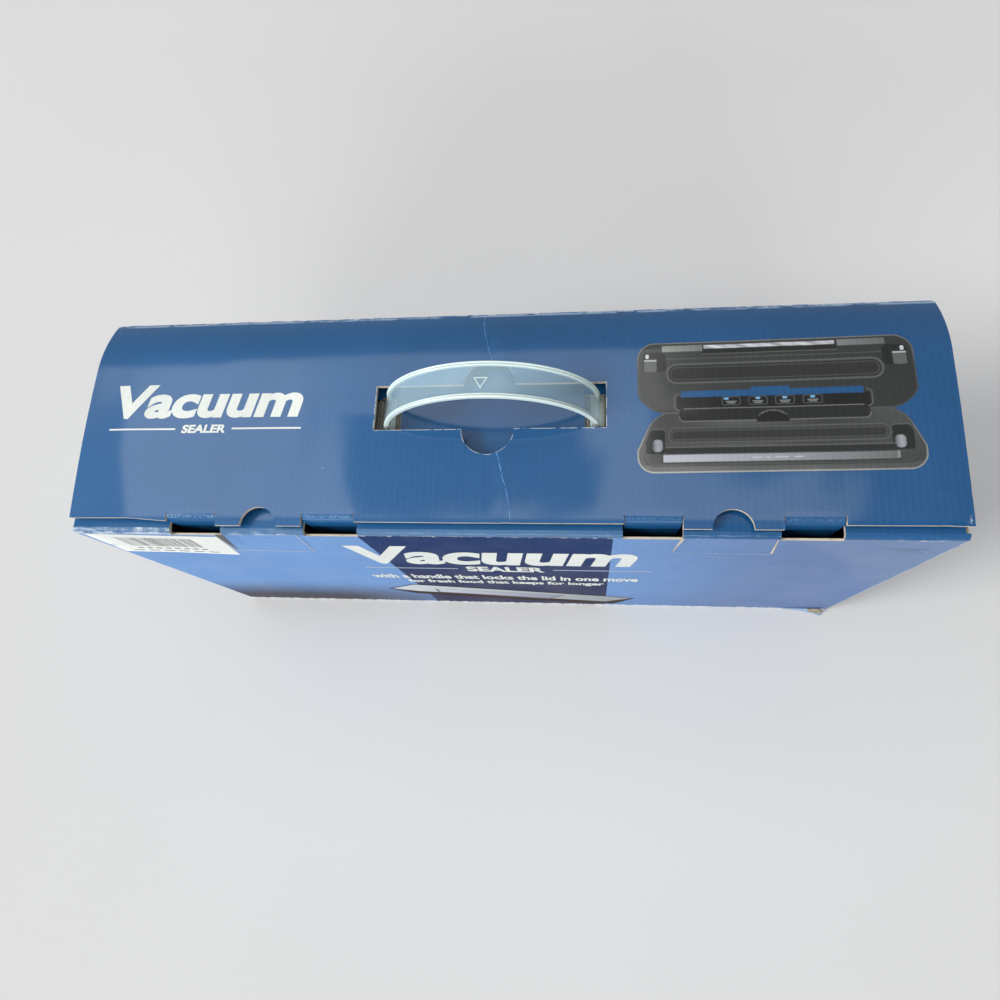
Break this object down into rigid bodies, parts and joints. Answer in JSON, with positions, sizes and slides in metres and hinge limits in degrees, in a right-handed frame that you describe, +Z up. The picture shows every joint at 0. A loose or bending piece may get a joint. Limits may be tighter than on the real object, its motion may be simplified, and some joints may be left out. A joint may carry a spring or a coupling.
{
  "type": "boxed vacuum packing machine",
  "caption": "Vacuum packing machine packed on edge in its blue printed carton, with a double top flap, thumb notches and an arched translucent strap handle.",
  "frame": {"origin": "middle of the carton's underside, on the floor", "axes": "+X to the right along the carton's long side, +Y from the front wall to the back wall, +Z up"},
  "size_m": [0.43, 0.1211, 0.2393],
  "materials": {
    "printed_board": "glossy printed and varnished outside, kraft inside",
    "kraft_board": "raw kraft liner",
    "label_paper": "semi-gloss sticker",
    "handle_plastic": "translucent natural polyethylene",
    "foam": "expanded polystyrene beads",
    "machine_dark": "fine spark-eroded grain",
    "machine_silver": "satin silver paint",
    "fascia_gloss": "piano-gloss black",
    "key_plastic": "satin moulded keys",
    "light_pipe": "translucent blue light pipes",
    "gasket_rubber": "soft foam rubber",
    "silicone": "red-brown silicone",
    "foot_rubber": "moulded rubber",
    "bar_aluminium": "extruded",
    "release_tape": "woven non-stick tape",
    "steel": "zinc plated",
    "board_green": "circuit board laminate",
    "core_steel": "laminated core and windings",
    "motor_steel": "drawn can",
    "works_plastic": "moulded nylon",
    "hose_silicone": "clear silicone",
    "roller_plastic": "acetal"
  },
  "bodies": {
    "carton": {"front_panel": "printed_board", "back_panel": "printed_board", "left_panel": "printed_board", "right_panel": "printed_board", "glue_flap": "kraft_board", "bottom_left_flap": "printed_board", "bottom_right_flap": "printed_board", "bottom_front_flap": "printed_board", "bottom_back_flap": "printed_board", "barcode_label": "label_paper", "end_cap_left": "foam", "end_cap_right": "foam", "base_housing": "machine_dark", "base_cover": "machine_dark", "base_screws": "steel", "rubber_feet": "foot_rubber", "lower_gasket": "gasket_rubber", "sealing_bar": "bar_aluminium", "heater_tape": "release_tape", "control_console": "machine_dark", "console_fascia": "fascia_gloss", "indicator_lights": "light_pipe", "control_board": "board_green", "power_board": "board_green", "transformer": "core_steel", "pump_motor": "motor_steel", "vacuum_pump": "works_plastic", "suction_hose": "hose_silicone", "release_valve": "works_plastic", "power_inlet": "works_plastic", "hinge_pins": "steel"},
    "outer_lid": {"outer_lid": "printed_board"},
    "inner_flap": {"inner_flap": "printed_board"},
    "carry_handle": {"carry_handle": "handle_plastic"},
    "machine_lid": {"lid_shell": "machine_dark", "lid_liner": "machine_dark", "upper_gasket": "gasket_rubber", "pressure_strip": "silicone", "front_trim_left": "machine_silver", "front_trim_right": "machine_silver", "liner_screws": "steel", "return_springs": "steel"},
    "lock_bar": {"lock_handle": "machine_silver", "lock_shaft": "steel", "lock_hook_left": "steel", "lock_hook_right": "steel"},
    "catch_roller_left": {"catch_roller_left": "roller_plastic"},
    "catch_roller_right": {"catch_roller_right": "roller_plastic"},
    "key_vacuum_seal": {"key_vacuum_seal": "key_plastic"},
    "key_food_type": {"key_food_type": "key_plastic"},
    "key_seal_only": {"key_seal_only": "key_plastic"},
    "key_pulse": {"key_pulse": "key_plastic"}
  },
  "joints": [
    {"name": "lid_hinge", "type": "hinge", "parent": "carton", "child": "outer_lid", "pos_m": [0, 0.0605, 0.2005], "axis": [-1, 0, 0], "range_deg": [0, 180], "deforming": ["carry_handle"]},
    {"name": "inner_flap_hinge", "type": "hinge", "parent": "carton", "child": "inner_flap", "pos_m": [0, -0.0605, 0.201], "axis": [1, 0, 0], "range_deg": [0, 54]},
    {"name": "handle_lift", "type": "slide", "parent": "inner_flap", "child": "carry_handle", "axis": [0, 0, 1], "range_m": [-0.008, 0]},
    {"name": "machine_lid_hinge", "type": "hinge", "parent": "carton", "child": "machine_lid", "pos_m": [0, -0.0055, 0.0175], "axis": [-1, 0, 0], "range_deg": [0, 9]},
    {"name": "lock_bar_swing", "type": "hinge", "parent": "machine_lid", "child": "lock_bar", "pos_m": [0, 0.01, 0.155], "axis": [1, 0, 0], "range_deg": [0, 14]},
    {"name": "catch_roller_left_spin", "type": "hinge", "parent": "carton", "child": "catch_roller_left", "pos_m": [-0.166, -0.024, 0.143], "axis": [1, 0, 0], "continuous": true},
    {"name": "catch_roller_right_spin", "type": "hinge", "parent": "carton", "child": "catch_roller_right", "pos_m": [0.166, -0.024, 0.143], "axis": [1, 0, 0], "continuous": true},
    {"name": "key_vacuum_seal_press", "type": "slide", "parent": "carton", "child": "key_vacuum_seal", "axis": [0, -1, 0], "range_m": [0, 0.0008], "stiffness_N_per_m": 900, "springref_m": -0.0006},
    {"name": "key_food_type_press", "type": "slide", "parent": "carton", "child": "key_food_type", "axis": [0, -1, 0], "range_m": [0, 0.0008], "stiffness_N_per_m": 900, "springref_m": -0.0006},
    {"name": "key_seal_only_press", "type": "slide", "parent": "carton", "child": "key_seal_only", "axis": [0, -1, 0], "range_m": [0, 0.0008], "stiffness_N_per_m": 900, "springref_m": -0.0006},
    {"name": "key_pulse_press", "type": "slide", "parent": "carton", "child": "key_pulse", "axis": [0, -1, 0], "range_m": [0, 0.0008], "stiffness_N_per_m": 900, "springref_m": -0.0006}
  ],
  "couplings": [
    {"joint": "inner_flap_hinge", "follows": "lid_hinge", "ratio": 0.3}
  ]
}
